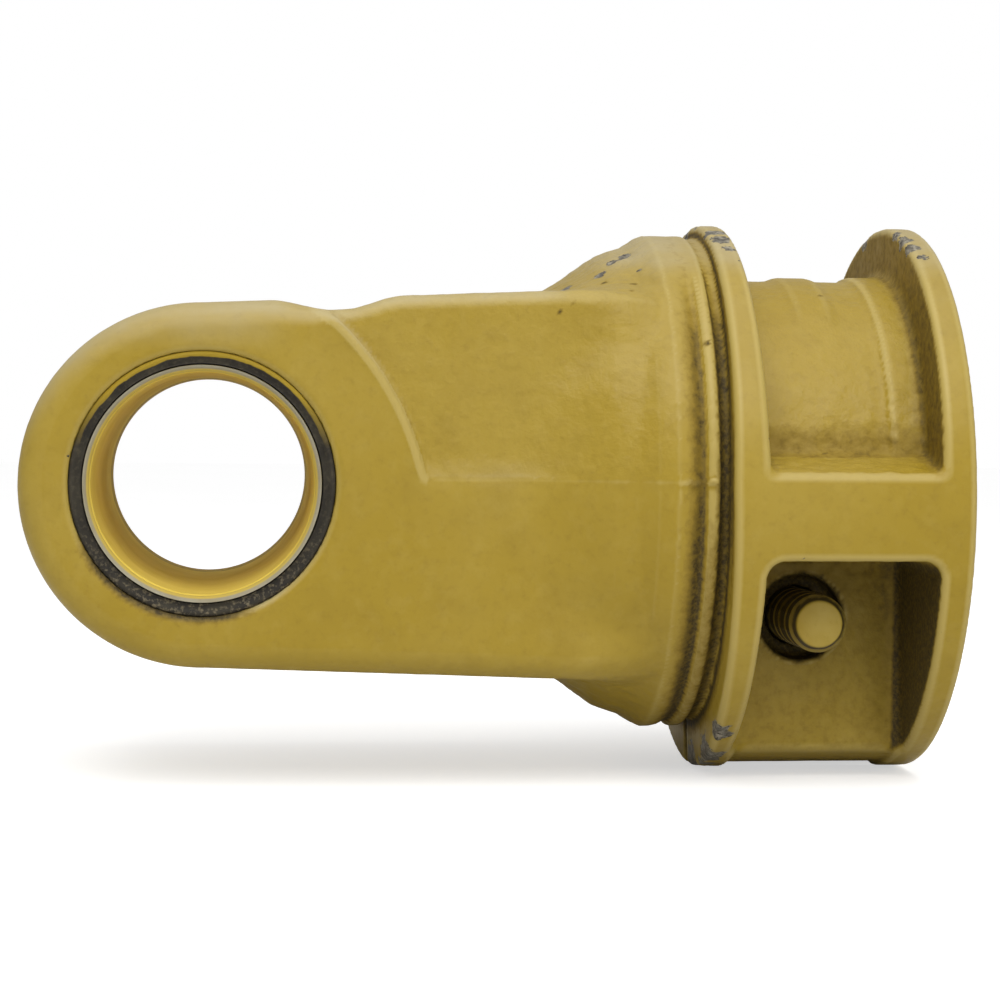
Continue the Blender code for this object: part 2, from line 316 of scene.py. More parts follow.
def parting_flash(x, y, z, body):
    """Thin raised seam where the two halves of the mould met, on both sides of the casting."""
    along = plateau(x, *NECK_SEAM_X) + 0.3 * ramp(x, 72.0, 80.0)
    seam = bell(z, PARTING_Z + 0.6, 0.7) * (np.abs(y) > 50.0)
    return body - 0.7 * np.minimum(along, 1.0) * seam * (x < NECK_SEAM_X[3])


def bores(x, y, z, radius):
    """Everything machined or cored out of the casting, as one field that is negative inside."""
    from_pin = np.hypot(x, z)
    chamfer = from_pin - BUSH_OUTER_R - 0.9 + (EYE_HALF_WIDTH - np.abs(y))
    eye = smooth_min(from_pin - BUSH_OUTER_R, chamfer, 0.6)
    mouth = radius - SOCKET_R - SLEEVE_WALL
    socket = np.maximum(mouth, SOCKET_DEPTH_X - x)
    socket = np.minimum(socket, (radius - SOCKET_R - 5.0 + (FLANGE_2[1] - x)) * 0.7)
    slit = np.maximum(np.abs(y) - SLIT_HALF_WIDTH, z + SOCKET_R - 8.0)
    slit = np.maximum(slit, SLIT_START_X - x)
    bolt_radius = np.hypot(x - BOLT_X, z - BOLT_Z)
    tight = np.maximum(bolt_radius - BOLT_R - 0.6, y - 1.0)
    loose = np.maximum(bolt_radius - BOLT_R - 1.0, -y)
    cored = smooth_max(bolt_radius - COUNTERBORE_R, y - COUNTERBORE_END_Y, 3.0)
    hole = np.minimum(np.minimum(tight, loose), cored)
    return np.minimum(np.minimum(eye, socket), np.minimum(slit, hole))


def casting_field(x, y, z):
    radius = np.hypot(y, z)
    limit = radius - np.interp(x, *SHANK_LIMIT)
    shank = smooth_max(eye_and_shank(x, y, z), limit, SHANK_CORNER_FILLET)
    body = smooth_min(shank, neck(x, z, radius), shoulder_blend(x, z))
    body = parting_flash(x, y, z, body)
    body = smooth_min(body, collar(x, y, z, radius), JOIN_FILLET)
    return smooth_max(body, -bores(x, y, z, radius), JOIN_FILLET)


# ---------------------------------------------------------------- surface from a field

def surface_nets(values, start, step):
    """Quads on the zero level of a sampled field: one vertex in each cell that it crosses."""
    inside = values < 0.0
    cell_shape = [n - 1 for n in values.shape]
    corners = [(i, j, k) for i in (0, 1) for j in (0, 1) for k in (0, 1)]

    def corner_view(array, corner):
        return array[tuple(slice(c, c + n) for c, n in zip(corner, cell_shape))]

    count = sum(corner_view(inside, corner).astype(np.int8) for corner in corners)
    cells = np.argwhere((count > 0) & (count < 8))
    index = np.full(cell_shape, -1, dtype=np.int64)
    index[tuple(cells.T)] = np.arange(len(cells))
    at_corner = [values[tuple((cells + corner).T)] for corner in corners]
    place = np.zeros((len(cells), 3))
    crossings = np.zeros(len(cells))
    for a in range(8):
        for b in range(a + 1, 8):
            difference = np.subtract(corners[b], corners[a])
            if np.abs(difference).sum() != 1:
                continue
            crossed = (at_corner[a] < 0.0) != (at_corner[b] < 0.0)
            share = at_corner[a][crossed] / (at_corner[a][crossed] - at_corner[b][crossed])
            place[crossed] += np.array(corners[a]) + share[:, None] * difference
            crossings[crossed] += 1.0
    points = (cells + place / crossings[:, None]) * step + start
    quads = []
    for axis in range(3):
        others = [o for o in range(3) if o != axis]
        low = [slice(1, -1)] * 3
        high = [slice(1, -1)] * 3
        low[axis] = slice(0, -1)
        high[axis] = slice(1, None)
        changed = inside[tuple(low)] != inside[tuple(high)]
        edges = np.argwhere(changed)
        edges[:, others] += 1
        ring = []
        for du, dv in ((-1, -1), (0, -1), (0, 0), (-1, 0)):
            cell = edges.copy()
            cell[:, others[0]] += du
            cell[:, others[1]] += dv
            ring.append(index[tuple(cell.T)])
        faces = np.stack(ring, axis=1)
        flip = inside[tuple(edges.T)] == (axis == 1)
        faces[flip] = faces[flip][:, ::-1]
        quads.append(faces)
    return points, np.concatenate(quads)


def field_gradient(field, points, reach=0.4):
    gradient = np.zeros_like(points)
    for axis in range(3):
        offset = np.zeros(3)
        offset[axis] = reach
        gradient[:, axis] = field(*(points + offset).T) - field(*(points - offset).T)
    return gradient / (2.0 * reach)


def settle(field, points, rounds=3):
    """Moves points onto the field's zero surface; returns them with their unit normals."""
    for _ in range(rounds):
        gradient = field_gradient(field, points)
        square = np.maximum((gradient ** 2).sum(axis=1), 0.05)
        move = gradient * (field(*points.T) / square)[:, None]
        length = np.linalg.norm(move, axis=1)
        move *= np.minimum(1.0, FIELD_STEP * 0.6 / np.maximum(length, 1e-9))[:, None]
        points = points - move
    gradient = field_gradient(field, points)
    normals = gradient / np.maximum(np.linalg.norm(gradient, axis=1), 1e-9)[:, None]
    return points, normals


def mesh_piece(name, points, faces):
    """Object in metres from points in millimetres and quads as an array."""
    mesh = bpy.data.meshes.new(name)
    mesh.vertices.add(len(points))
    mesh.vertices.foreach_set("co", (points * MM).astype(np.float32).ravel())
    corners = faces.shape[1]
    mesh.loops.add(faces.size)
    mesh.loops.foreach_set("vertex_index", faces.astype(np.int32).ravel())
    mesh.polygons.add(len(faces))
    mesh.polygons.foreach_set("loop_start", np.arange(0, faces.size, corners, dtype=np.int32))
    mesh.update(calc_edges=True)
    mesh.validate()
    mesh.shade_smooth()
    item = bpy.data.objects.new(name, mesh)
    bpy.context.scene.collection.objects.link(item)
    return item


def store(item, name, values):
    layer = item.data.attributes.new(name, "FLOAT", "POINT")
    layer.data.foreach_set("value", np.clip(values, 0.0, 1.0).astype(np.float32))


# ---------------------------------------------------------------- the casting

def casting_samples():
    low = np.array([-EYE_R, -FLANGE_R, -FLANGE_R - FLANGE_DROP]) - FIELD_MARGIN
    high = np.array([FLANGE_2[1], FLANGE_R, FLANGE_R - FLANGE_DROP]) + FIELD_MARGIN
    axes = [np.arange(a, b, FIELD_STEP) + FIELD_SHIFT for a, b in zip(low, high)]
    x = axes[0][:, None, None]
    y = axes[1][None, :, None]
    z = axes[2][None, None, :]
    return casting_field(x, y, z), low + FIELD_SHIFT


def skin_roughness(points):
    """Height of the foundry skin in millimetres: orange peel, lumps and pits, by region."""
    x, y, z = points.T
    upper = ramp(z, PARTING_Z, PARTING_Z + 3.0)
    shank = ramp(past_boss(x, z), 0.0, 3.0) * plateau(x, *SHANK_SKIN_X)
    shoulder = plateau(x, *SHOULDER_SKIN_X) * ramp(np.abs(z), 55.0, 70.0)
    crust = 1.0 - ramp(np.abs(z - 12.0), 4.0, 26.0)
    seam = bell(z, PARTING_Z + 2.0, 4.0) * plateau(x, *SEAM_SKIN_X)
    lumps = 0.02 + shank * (0.05 * upper + 0.01) + 0.11 * shoulder + 0.09 * seam
    lumps = lumps + inside_collar(x, y, z) * (np.hypot(y, z) > 40.0) * (0.04 + 0.22 * crust)
    height = lumps * (waves(x, y, z, 6.0, 1) + 0.8 * waves(x, y, z, 4.0, 2))
    height = height + 0.05 * shank * waves(x, y, z, 26.0, 3)
    pits = np.maximum(waves(x, y, z, 9.0, 4) - 1.7, 0.0)
    return height - (0.12 + lumps) * 1.6 * pits


def grain_share(points):
    """How rough the sand left each region, for the shader's fine relief: 0 smooth to 1 coarse."""
    x, y, z = points.T
    upper = ramp(z, PARTING_Z - 3.0, PARTING_Z + 6.0)
    shank = ramp(past_boss(x, z), 0.0, 3.0) * plateau(x, *SHANK_GRAIN_X)
    return np.clip(0.22 + 0.78 * shank * upper + 0.75 * inside_collar(x, y, z), 0.0, 1.0)


def crowding(field, points, normals):
    """How far the surroundings close over a point, from 0 in the open to 1 in a tight corner."""
    total = 0.0
    for reach, weight in ((2.5, 0.30), (7.0, 0.30), (18.0, 0.25), (38.0, 0.15)):
        free = field(*(points + normals * reach).T) / reach
        total = total + weight * (1.0 - np.clip(free, 0.0, 1.0))
    return total


def edge_turn(field, points, reach=1.6):
    """Mean turn of the surface: positive on rolled outer edges, negative in fillets."""
    centre = field(*points.T)
    total = 0.0
    for axis in range(3):
        offset = np.zeros(3)
        offset[axis] = reach
        total = total + field(*(points + offset).T) + field(*(points - offset).T) - 2.0 * centre
    return total / reach


# Places where paint is knocked off: centre in millimetres and reach
CHIPS = (
    ((179.7, -28.0, 89.4), 5.5), ((180.5, -37.0, 86.6), 5.6), ((182.2, -45.0, 82.9), 3.4),
    ((176.5, 10.0, 92.5), 7.0), ((181.0, 34.0, 86.5), 6.0), ((178.0, -6.0, 93.4), 3.6),
    ((246.0, -24.0, 90.6), 5.0), ((246.4, -33.0, 87.9), 5.5), ((247.6, -42.0, 84.2), 5.0),
    ((249.6, -50.0, 80.0), 3.2), ((247.0, 20.0, 91.0), 6.0), ((251.0, 2.0, 93.4), 4.0),
    ((174.5, -38.0, -97.0), 12.0), ((174.5, -12.0, -103.0), 12.0), ((176.0, -58.0, -86.0), 8.0),
    ((179.0, -26.0, -101.0), 5.0), ((147.9, -25.1, 80.8), 3.8), ((143.2, -27.5, 78.4), 3.2),
    ((137.9, -34.9, 73.3), 3.4), ((126.0, -30.0, 69.0), 4.0), ((150.5, -42.0, 75.4), 1.8),
    ((140.0, 4.0, 78.0), 5.0), ((153.0, 12.0, 86.0), 4.0), ((142.0, 4.0, -79.0), 5.0),
    ((254.0, 60.0, -80.0), 5.0), ((182.0, 80.0, 52.0), 4.0),
)

# Dark scuffs and sand pits: centre in millimetres and reach
SCUFFS = (
    ((119.9, -68.0, 59.0), 1.3), ((124.6, -67.0, 61.8), 1.5), ((127.3, -66.0, 63.0), 1.2),
    ((-60.0, -60.0, 4.6), 1.1), ((14.1, -68.5, 52.0), 1.2), ((168.8, -75.0, 48.0), 1.6),
    ((217.6, -33.1, 66.7), 1.2), ((210.0, -73.8, 10.5), 2.0), ((76.5, -69.0, 0.8), 1.4),
    ((115.0, -69.0, 0.5), 1.6), ((95.0, 69.0, 30.0), 1.8), ((147.2, -50.2, 69.4), 2.0),
    ((137.8, -45.6, 69.9), 1.4), ((144.5, -60.0, 66.0), 1.5),
)


def near_spots(points, spots, rough):
    """1 inside ragged spots, 0 away from them."""
    cover = np.zeros(len(points))
    for centre, reach in spots:
        away = np.linalg.norm(points - np.array(centre), axis=1) / reach
        cover = np.maximum(cover, ramp(1.25 - away + 0.35 * (rough - 0.5), 0.30, 0.80))
    return cover


def ragged(points):
    x, y, z = points.T
    return 0.5 + 0.5 * waves(x, y, z, 5.0, 11) + 0.35 * waves(x, y, z, 2.2, 12)


def paint_loss(points, turn):
    """Bare metal: around the knocks, and in short runs along worn rims."""
    rough = ragged(points)
    on_edge = ramp(turn, 0.25, 0.55) * ramp(rough, 1.15, 1.45)
    return np.maximum(near_spots(points, CHIPS, rough), 0.8 * on_edge)


def groove_dirt_and_shade(x, y, z):
    """Dirt and painted shade in the neck's two grooves and, below, on the ridge between them."""
    radius = np.hypot(y, z)
    rim = np.hypot(y, z + FLANGE_DROP)
    around = ramp(radius, 80.0, 84.0) * (1.0 - ramp(rim, 94.0, 97.0)) * (1.0 - 0.8 * ramp(z, 45.0, 72.0))
    # darker towards the bottom
    low = ramp(-z, -8.0, 30.0)
    first = plateau(x, *FIRST_GROOVE_X) * (0.74 + 0.22 * low)
    ridge = plateau(x, *RIDGE_X) * 0.42 * low
    second = plateau(x, *SECOND_GROOVE_X) * 0.84
    return around * np.maximum(np.maximum(first, ridge), second)


def pocket_dirt_and_shade(x, y, z):
    """Dirt and painted shade between the flanges: dirt on the second one's wall with painted shade added
    low down, painted shade in the lower pockets and under the ribs, a crust over the ribs.
    """
    radius = np.hypot(y, z)
    rim = np.hypot(y, z + FLANGE_DROP)
    wall = plateau(x, *FLANGE_WALL_X) * (1.0 - ramp(rim, FLANGE_R - 2.6, FLANGE_R - 1.0))
    wall = wall * ((radius > 60.0) | (z < 0.0)) * (z < 92.0)
    # the wall's lower part gets painted shade on top of its dirt
    cover = wall * (0.70 - 0.20 * ramp(z, 55.0, 85.0) + 0.30 * ramp(-z, 20.0, 26.0))
    inside = inside_collar(x, y, z)
    # painted shade on the lower pockets' floor, darker towards the rib above and towards the second
    # flange
    deep = inside * (np.abs(y) < FLOOR_Y + 8.0) * (z < RIB_BOTTOM_Z)
    shade = 0.20 + 0.22 * ramp(z, -62.0, -30.0) + 0.20 * ramp(x, 226.0, 243.0)
    # painted shade on the underside of the ribs
    ceiling = inside * ramp(z, RIB_BOTTOM_Z - 10.0, RIB_BOTTOM_Z - 1.0) * (z < RIB_BOTTOM_Z + 1.0)
    ceiling = 0.65 * ceiling * (np.abs(y) > FLOOR_Y - 1.0)
    crust = inside * (1.0 - ramp(np.abs(z - 11.0), 4.0, 14.0))
    crust = 0.48 * crust * (radius < TUBE_R + 4.0) * (z > RIB_TOP_OUTER_Z)
    return np.maximum.reduce([cover, deep * shade, ceiling, crust])


def dirt_and_shade_cover(points, closed):
    """Foundry dust and greasy dirt together with painted shade: painted shade in corners and in the bolt
    hole, dirt and painted shade in the neck's grooves and the pockets, dirt below the seal and at the
    scuffs.
    """
    x, y, z = points.T
    from_bolt = np.hypot(x - BOLT_X, z - BOLT_Z)
    # painted shadow inside the bolt hole
    hole = 1.0 - ramp(from_bolt, COUNTERBORE_R + 0.2, COUNTERBORE_R + 1.6)
    hole = hole * (np.abs(y) < FLOOR_Y + 0.5)
    ring = 1.0 - ramp(np.hypot(x, z), BUSH_OUTER_R + 0.6, BUSH_OUTER_R + 3.4)
    ring = ring * ramp(-z, 12.0, 30.0) * (1.0 - ramp(x, 8.0, 22.0)) * (np.abs(y) > 60.0)
    scuffs = near_spots(points, SCUFFS, ragged(points))
    # painted shade, darker where the surroundings close over the surface
    corners = ramp(closed, 0.30, 0.82)
    covers = [corners, groove_dirt_and_shade(x, y, z), pocket_dirt_and_shade(x, y, z), hole, ring, scuffs]
    return np.maximum.reduce(covers)


def dust_and_top_highlight(points, normals, closed):
    """Pale dust and painted highlight on whatever faces up, thinner between the flanges, and a painted
    highlight on the eye's upper edge.
    """
    x, y, z = points.T
    cover = ramp(normals[:, 2], 0.08, 0.75) * (1.0 - closed) * (1.0 - 0.75 * inside_collar(x, y, z))
    cover = cover * (1.0 - 0.8 * ramp(x, 112.0, 126.0) * (1.0 - ramp(z, 70.0, 82.0)))
    # painted highlight with dust on the neck's top
    cover = cover + 0.35 * plateau(x, *NECK_DUST_AND_HIGHLIGHT_X) * ramp(z, 74.0, 82.0)
    # painted highlight band on the eye's upper edge
    eye_top_highlight = ramp(z, 42.0, 53.0) * (1.0 - ramp(x, 10.0, 34.0)) * (np.abs(y) > EYE_HALF_WIDTH - 12.0)
    return np.maximum(cover, 0.55 * eye_top_highlight)


def build_casting():
    values, start = casting_samples()
    points, quads = surface_nets(values, start, FIELD_STEP)
    points, normals = settle(casting_field, points)
    turn = edge_turn(casting_field, points)
    on_side = np.abs(points[:, 1]) > EYE_HALF_WIDTH - 5.0
    # painted highlight along the boss's rim, carried in the edge values
    turn = turn + 0.55 * on_side * boss_rim(points[:, 0], points[:, 2])
    closed = crowding(casting_field, points, normals)
    loss = paint_loss(points, turn)
    # dirt together with painted shade in corners, grooves, pockets and the bolt hole
    dirt_and_shade = dirt_and_shade_cover(points, closed)
    height = skin_roughness(points) - CHIP_DEPTH * loss
    from_pin = np.hypot(points[:, 0], points[:, 2])
    height[from_pin < BUSH_OUTER_R + 0.8] = 0.0
    low, high = np.array(cad_box) / MM
    points = np.clip(points + normals * height[:, None], low, high)
    item = mesh_piece("rod_eye_casting", points, quads)
    around_seal = np.hypot(points[:, 0], points[:, 2]) < BUSH_OUTER_R + 4.0
    store(item, "bare", loss)
    store(item, "dirt_and_shade", dirt_and_shade)
    store(item, "edge", np.where(around_seal, 0.3 * turn, turn))
    store(item, "grain", grain_share(points))
    store(item, "dust", dust_and_top_highlight(points, normals, closed))
    return item


# ---------------------------------------------------------------- turned and threaded pieces

def full_turn(segments):
    return np.linspace(0.0, 2.0 * math.pi, segments, endpoint=False)


def ring_about_y(centre, along, radius, angles):
    """Row of points round a line along Y through centre (x, z)."""
    place = (centre[0] + radius * np.cos(angles), np.full(len(angles), along))
    return np.stack([*place, centre[1] + radius * np.sin(angles)], axis=1)


def row_faces(rows, segments, closed_rows=False):
    """Quads that join rows of points, each row closed on itself."""
    count = rows if closed_rows else rows - 1
    i = np.arange(segments)
    j = (i + 1) % segments
    faces = []
    for row in range(count):
        below = row * segments
        above = ((row + 1) % rows) * segments
        faces.append(np.stack([below + i, below + j, above + j, above + i], axis=1))
    return np.concatenate(faces)


def turned(name, profile, centre, sharp_deg=28.0, segments=ROUND_SEGMENTS):
    """Ring turned about Y from closed (along y, radius) points."""
    angles = full_turn(segments)
    rows = [ring_about_y(centre, along, radius, angles) for along, radius in profile]
    item = mesh_piece(name, np.concatenate(rows), row_faces(len(profile), segments, closed_rows=True))
    close_shell(item, [], sharp_deg)
    return item


def capped_bar(name, rows, hubs, sharp_deg):
    """Bar from rings of points, closed at each end by a fan to its hub."""
    segments = len(rows[0])
    faces = row_faces(len(rows), segments)
    item = mesh_piece(name, np.concatenate(rows + [np.array(hubs)]), faces)
    first_hub = len(rows) * segments
    last = first_hub - segments
    fans = []
    for i in range(segments):
        j = (i + 1) % segments
        fans.append((first_hub, j, i))
        fans.append((first_hub + 1, last + i, last + j))
    close_shell(item, fans, sharp_deg)
    return item


def close_shell(item, missing_faces, sharp_deg):
    """Adds faces by vertex number, turns all of them outwards and marks the sharp edges."""
    mesh_data = bmesh.new()
    mesh_data.from_mesh(item.data)
    mesh_data.verts.ensure_lookup_table()
    for corners in missing_faces:
        mesh_data.faces.new([mesh_data.verts[corner] for corner in corners])
    bmesh.ops.recalc_face_normals(mesh_data, faces=mesh_data.faces)
    mesh_data.to_mesh(item.data)
    mesh_data.free()
    item.data.shade_smooth()
    item.data.set_sharp_from_angle(angle=math.radians(sharp_deg))


def build_bushing():
    """Bronze bush with a lead chamfer at each mouth."""
    outer = BUSH_OUTER_R - GAP
    end = BUSH_HALF_LENGTH
    lead = 1.2
    profile = [(-end, PIN_R + lead), (-end, outer - lead), (-end + lead, outer)]
    profile += [(end - lead, outer), (end, outer - lead), (end, PIN_R + lead), (end - lead, PIN_R)]
    profile += [(-end + lead, PIN_R)]
    return turned("bushing_turned", profile, (0.0, 0.0))


def build_seal_ring(side, name):
    """Rubber carrier with a rounded outer bead and a shallow trough before the lip."""
    inner = LIP_OUTER_R + GAP
    outer = BUSH_OUTER_R - RING_GAP
    low = BUSH_HALF_LENGTH + GAP
    high = EYE_HALF_WIDTH - 0.8
    middle = 0.5 * (inner + outer)
    profile = [(low, inner), (high - 1.6, inner), (high - 1.0, inner + 0.3)]
    profile += [(high - 1.2, inner + 0.9), (high - 0.5, middle)]
    profile += [(high - 0.1, middle + 0.8), (high, outer - 0.9), (high - 0.3, outer - 0.3)]
    profile += [(high - 1.0, outer), (low, outer)]
    return turned(name, [(side * a, r) for a, r in profile], (0.0, 0.0), sharp_deg=50.0)


def build_seal_lip(side, name):
    """Cream wiper lip with a rolled edge and a slight undercut behind it."""
    low = BUSH_HALF_LENGTH + GAP
    high = EYE_HALF_WIDTH - 0.4
    reach = FAR_LIP_REACH if side > 0 else 0.0
    profile = [(low, PIN_R + 1.0), (low + 1.8, PIN_R + 1.0), (high - 3.0, PIN_R + 0.1 - reach)]
    profile += [(high - 2.2, PIN_R - reach), (high - 1.5, PIN_R + 0.35), (high - 0.6, PIN_R + 1.2)]
    profile += [(high - 0.1, PIN_R + 1.7), (high, PIN_R + 2.1), (high - 0.4, LIP_OUTER_R - 0.1)]
    profile += [(high - 1.2, LIP_OUTER_R), (low, LIP_OUTER_R)]
    return turned(name, [(side * a, r) for a, r in profile], (0.0, 0.0), sharp_deg=60.0)


def build_washer():
    low = FLOOR_Y + GAP
    high = low + WASHER_THICKNESS
    inner = BOLT_R + 0.5
    outer = WASHER_R
    profile = [(low, inner), (low, outer - 0.7), (low + 0.2, outer - 0.2), (low + 0.7, outer)]
    profile += [(high - 0.7, outer), (high - 0.2, outer - 0.2), (high, outer - 0.7)]
    profile += [(high, inner + 0.5), (high - 0.5, inner)]
    return turned("washer_turned", profile, (BOLT_X, BOLT_Z), sharp_deg=40.0, segments=96)


def thread_depth(turns, depth):
    """Depth of a V thread with a flat crest at a place counted in turns along it."""
    phase = turns - np.floor(turns)
    return depth * np.clip(1.35 * (1.0 - np.abs(2.0 * phase - 1.0)) - 0.1, 0.0, 1.0)


def build_bolt():
    """M20 bolt: chamfered end, cut thread, plain shank, and a hex head with a washer face."""
    rows_per_pitch = 10
    centre = (BOLT_X, BOLT_Z)
    seat = FLOOR_Y + WASHER_THICKNESS + 2.0 * GAP
    along = [BOLT_END_Y, BOLT_END_Y + 0.25]
    along += list(np.arange(BOLT_END_Y + 0.5, BOLT_THREAD_END_Y, BOLT_PITCH / rows_per_pitch))
    along += [BOLT_THREAD_END_Y + 0.8, seat - 1.6, seat - 0.6, seat]
    angles = full_turn(72)
    rows = []
    for y in along:
        turns = (y - BOLT_END_Y) / BOLT_PITCH + angles / (2.0 * math.pi)
        cut = thread_depth(turns, BOLT_THREAD_DEPTH) * float(ramp(BOLT_THREAD_END_Y - y, 0.0, 3.0))
        lead = BOLT_R - BOLT_CHAMFER + 0.35 + (y - BOLT_END_Y)
        radius = np.minimum(BOLT_R - cut, lead)
        if y == BOLT_END_Y:
            radius = np.full(len(angles), BOLT_R - BOLT_CHAMFER)
        if y == seat:
            radius = radius + 0.6
        rows.append(ring_about_y(centre, y, radius, angles))
    hubs = [[BOLT_X, BOLT_END_Y, BOLT_Z], [BOLT_X, seat + 1.0, BOLT_Z]]
    shank = capped_bar("bolt_shank", rows, hubs, 50.0)
    return shank, build_bolt_head(seat)


def build_bolt_head(seat):
    """Forged hex head: radius at each angle is the hexagon, cut by a cone at the top."""
    angles = full_turn(144)
    sector = np.mod(angles, math.pi / 3.0) - math.pi / 6.0
    corner_r = HEAD_FLATS / math.sqrt(3.0)
    hexagon = HEAD_FLATS * 0.5 / np.cos(sector)
    hexagon = smooth_min(hexagon, np.full(len(angles), corner_r - 0.15), 0.5)
    face_r = HEAD_FLATS * 0.5 - 0.7
    # Height above the seat, and a radius that is either the ring itself or a limit to the hexagon
    base = [(0.0, 11.0), (0.0, face_r), (0.6, face_r), (0.6, face_r + 0.6)]
    sides = [(1.0, corner_r), (9.8, corner_r)]
    sides += [(HEAD_HEIGHT - 2.0 + 2.0 * t, corner_r - 0.1 - 2.9 * t) for t in (0.0, 0.3, 0.6, 0.85)]
    crown = [(HEAD_HEIGHT - 0.15, face_r - 0.3), (HEAD_HEIGHT, face_r - 0.8), (HEAD_HEIGHT, face_r * 0.5)]
    rings = [(up, np.full(len(angles), radius)) for up, radius in base]
    rings += [(up, np.minimum(hexagon, limit)) for up, limit in sides]
    rings += [(up, np.full(len(angles), radius)) for up, radius in crown]
    rows = [ring_about_y((BOLT_X, BOLT_Z), seat + up, radius, angles) for up, radius in rings]
    hubs = [[BOLT_X, seat, BOLT_Z], [BOLT_X, seat + HEAD_HEIGHT, BOLT_Z]]
    return capped_bar("bolt_head", rows, hubs, 22.0)


def build_socket_thread():
    """Cut thread of the rod socket: a sleeve whose bore is the thread, open along the slit."""
    segments = 120
    outer = SOCKET_R + SLEEVE_WALL + 0.1
    along = np.arange(SOCKET_DEPTH_X + 0.5, FLANGE_2[1] - 3.2, SOCKET_PITCH / 8.0)
    along = along[along >= SLIT_START_X]
    half_gap = math.asin(SLIT_HALF_WIDTH / SOCKET_R)
    angles = np.linspace(-math.pi / 2.0 + half_gap, 1.5 * math.pi - half_gap, segments)

    def row(x, radius):
        return np.stack([np.full(segments, x), radius * np.cos(angles), radius * np.sin(angles)], axis=1)

    rows = []
    for x in along:
        turns = x / SOCKET_PITCH + angles / (2.0 * math.pi)
        rows.append(row(x, SOCKET_R + 0.1 + thread_depth(turns, SOCKET_THREAD_DEPTH)))
    rows += [row(along[-1], outer), row(along[0], outer)]
    count = len(rows)
    faces = row_faces(count, segments, closed_rows=True)
    faces = faces[np.arange(len(faces)) % segments != segments - 1]
    item = mesh_piece("rod_socket_thread", np.concatenate(rows), faces)
    ends = [[i * segments + column for i in range(count)] for column in (0, segments - 1)]
    close_shell(item, ends, 50.0)
    return item


# ---------------------------------------------------------------- materials

class Nodes:
    """Short names for making and joining shader nodes."""

    def __init__(self, name):
        self.material = bpy.data.materials.new(name)
        self.material.use_nodes = True
        self.tree = self.material.node_tree
        self.shader = self.tree.nodes["Principled BSDF"]
        self.place = self.tree.nodes.new("ShaderNodeTexCoord").outputs["Object"]

    def join(self, value, socket):
        if hasattr(value, "is_output"):
            self.tree.links.new(value, socket)
        else:
            socket.default_value = value

    def noise(self, scale, detail=3.0, roughness=0.5, distortion=0.0):
        node = self.tree.nodes.new("ShaderNodeTexNoise")
        node.inputs["Scale"].default_value = scale
        node.inputs["Detail"].default_value = detail
        node.inputs["Roughness"].default_value = roughness
        node.inputs["Distortion"].default_value = distortion
        self.tree.links.new(self.place, node.inputs["Vector"])
        return node.outputs["Fac"]

    def axes(self):
        """Outputs X, Y and Z of the place on the object."""
        node = self.tree.nodes.new("ShaderNodeSeparateXYZ")
        self.tree.links.new(self.place, node.inputs[0])
        return node.outputs

    def pin_radius(self, axes):
        """Distance from the pin's axis."""
        squares = [self.math("MULTIPLY", axes[key], axes[key]) for key in ("X", "Z")]
        return self.math("SQRT", self.math("ADD", *squares))

    def attribute(self, name):
        node = self.tree.nodes.new("ShaderNodeAttribute")
        node.attribute_name = name
        return node.outputs["Fac"]

    def math(self, operation, a, b=0.0, clamp=False):
        node = self.tree.nodes.new("ShaderNodeMath")
        node.operation = operation
        node.use_clamp = clamp
        self.join(a, node.inputs[0])
        self.join(b, node.inputs[1])
        return node.outputs[0]

    def span(self, value, from_low, from_high, to_low=0.0, to_high=1.0):
        node = self.tree.nodes.new("ShaderNodeMapRange")
        node.clamp = True
        self.join(value, node.inputs["Value"])
        numbers = (from_low, from_high, to_low, to_high)
        for key, number in zip(("From Min", "From Max", "To Min", "To Max"), numbers):
            node.inputs[key].default_value = number
        return node.outputs["Result"]

    def mix(self, share, a, b):
        node = self.tree.nodes.new("ShaderNodeMix")
        node.data_type = "RGBA"
        self.join(share, node.inputs["Factor"])
        for value, socket in ((a, node.inputs["A"]), (b, node.inputs["B"])):
            self.join((*value, 1.0) if isinstance(value, tuple) and len(value) == 3 else value, socket)
        return node.outputs["Result"]

    def bump(self, height, strength, distance_mm, normal=None):
        node = self.tree.nodes.new("ShaderNodeBump")
        node.inputs["Strength"].default_value = strength
        node.inputs["Distance"].default_value = distance_mm * MM
        self.join(height, node.inputs["Height"])
        if normal is not None:
            self.tree.links.new(normal, node.inputs["Normal"])
        return node.outputs["Normal"]

    def finish(self, colour, roughness, normal=None, metallic=0.0, specular=0.5):
        self.join(colour, self.shader.inputs["Base Color"])
        self.join(roughness, self.shader.inputs["Roughness"])
        self.join(metallic, self.shader.inputs["Metallic"])
        self.shader.inputs["Specular IOR Level"].default_value = specular
        if normal is not None:
            self.tree.links.new(normal, self.shader.inputs["Normal"])
        return self.material


OCHRE = (0.315, 0.212, 0.014)
OCHRE_PALE = (0.400, 0.290, 0.055)
# paler paint of worn edges, also used as a painted highlight
EDGE_WEAR_AND_HIGHLIGHT = (0.430, 0.325, 0.090)
OCHRE_DEEP = (0.180, 0.112, 0.008)
# pale dust colour, also used as painted highlight on top faces
DUST_AND_HIGHLIGHT = (0.42, 0.36, 0.215)
